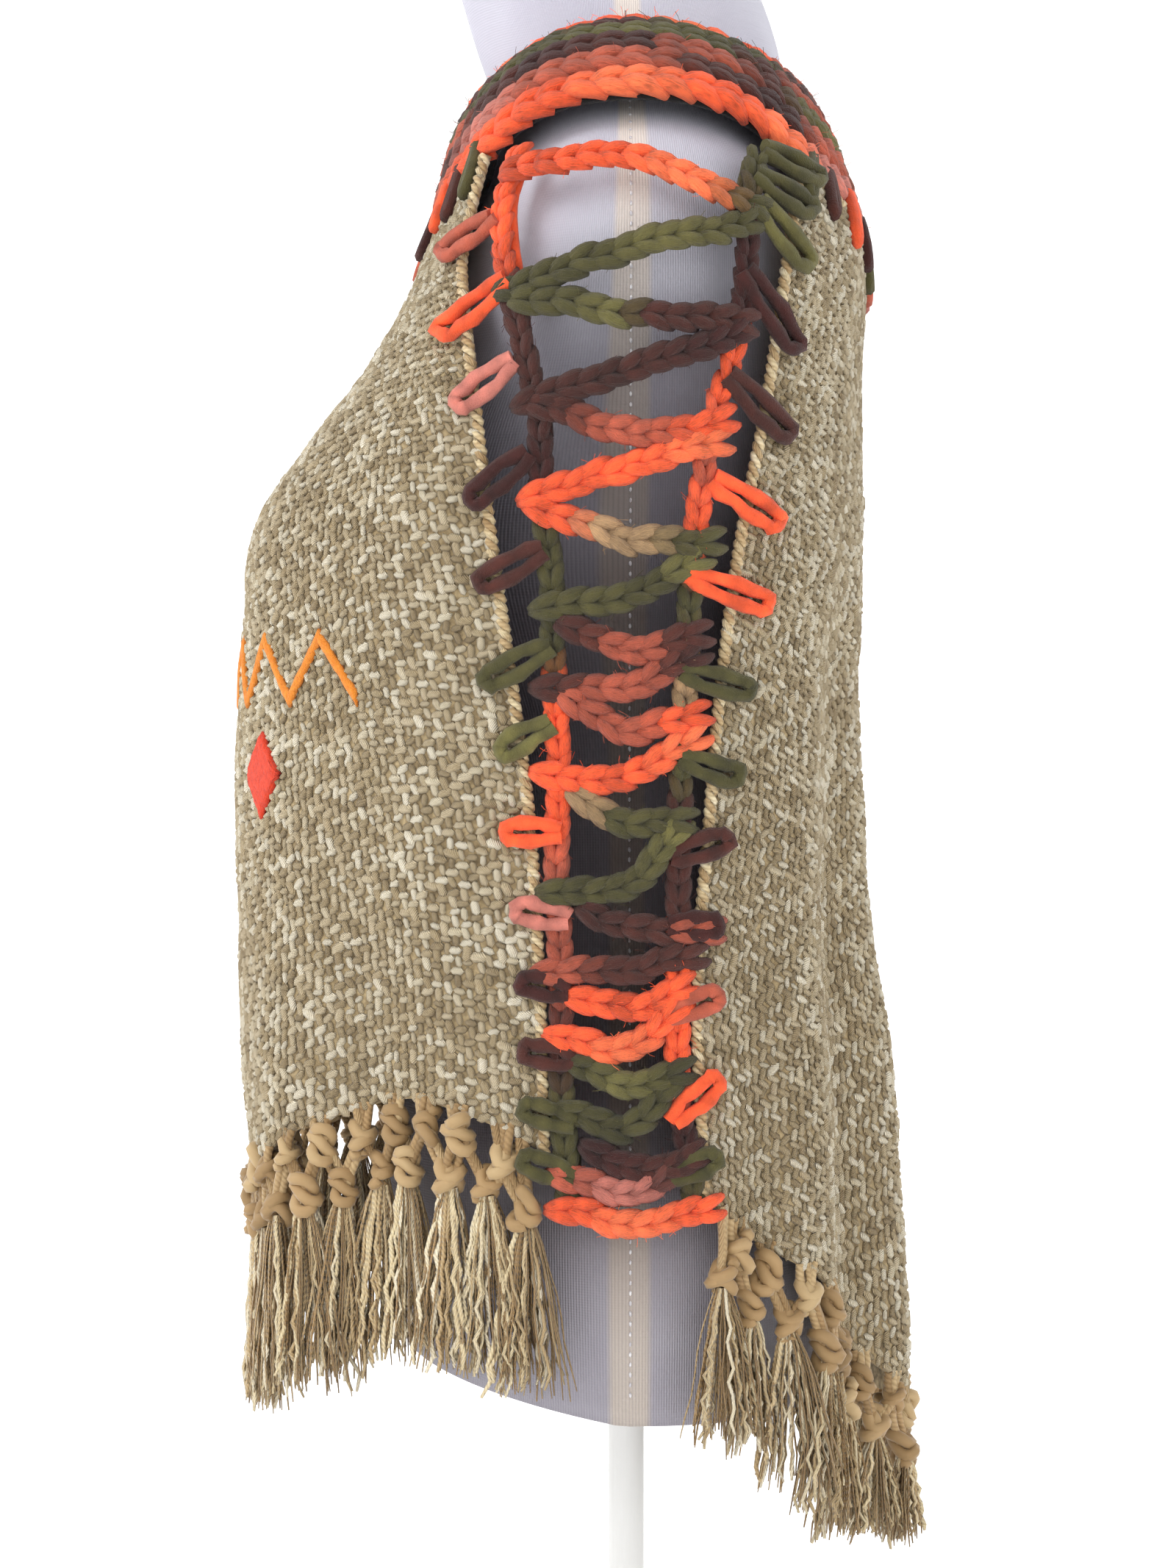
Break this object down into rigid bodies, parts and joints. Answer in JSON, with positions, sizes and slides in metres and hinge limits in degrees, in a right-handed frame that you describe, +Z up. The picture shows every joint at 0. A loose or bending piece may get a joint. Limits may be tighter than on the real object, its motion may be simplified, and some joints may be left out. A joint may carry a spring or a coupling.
{
  "type": "andean poncho on a dress form",
  "caption": "Hand-woven poncho with a crocheted yoke, crocheted side lacing and knotted fringe, on a limbless dress form with a pole and a round base.",
  "frame": {"origin": "centre of the round base's underside, on the surface that the stand rests on", "axes": "+Z up, -Y is the wearer's front, +X is the wearer's left"},
  "size_m": [0.3754, 0.3107, 0.825],
  "materials": {
    "woven_wool": "thick plain weave of flecked oatmeal wool",
    "crochet_yarn": "fuzzy hand-dyed roving in orange, olive, brown and pink",
    "fringe_yarn": "knotted plied wool with crimped cream strands",
    "orange_felt": "needle-felted wool line",
    "red_felt": "needle-felted wool patch",
    "jersey": "finely ribbed stretch jersey",
    "painted_steel": "satin white paint"
  },
  "bodies": {
    "root": {"front_panel": "woven_wool", "back_panel": "woven_wool", "yoke": "crochet_yarn", "lace_left": "crochet_yarn", "lace_right": "crochet_yarn", "fringe_front": "fringe_yarn", "fringe_back": "fringe_yarn", "felt_zigzag": "orange_felt", "felt_diamond_right": "red_felt", "felt_diamond_middle": "red_felt", "felt_diamond_left": "red_felt", "form_torso": "jersey", "stand_pole": "painted_steel", "stand_base": "painted_steel"}
  },
  "joints": []
}
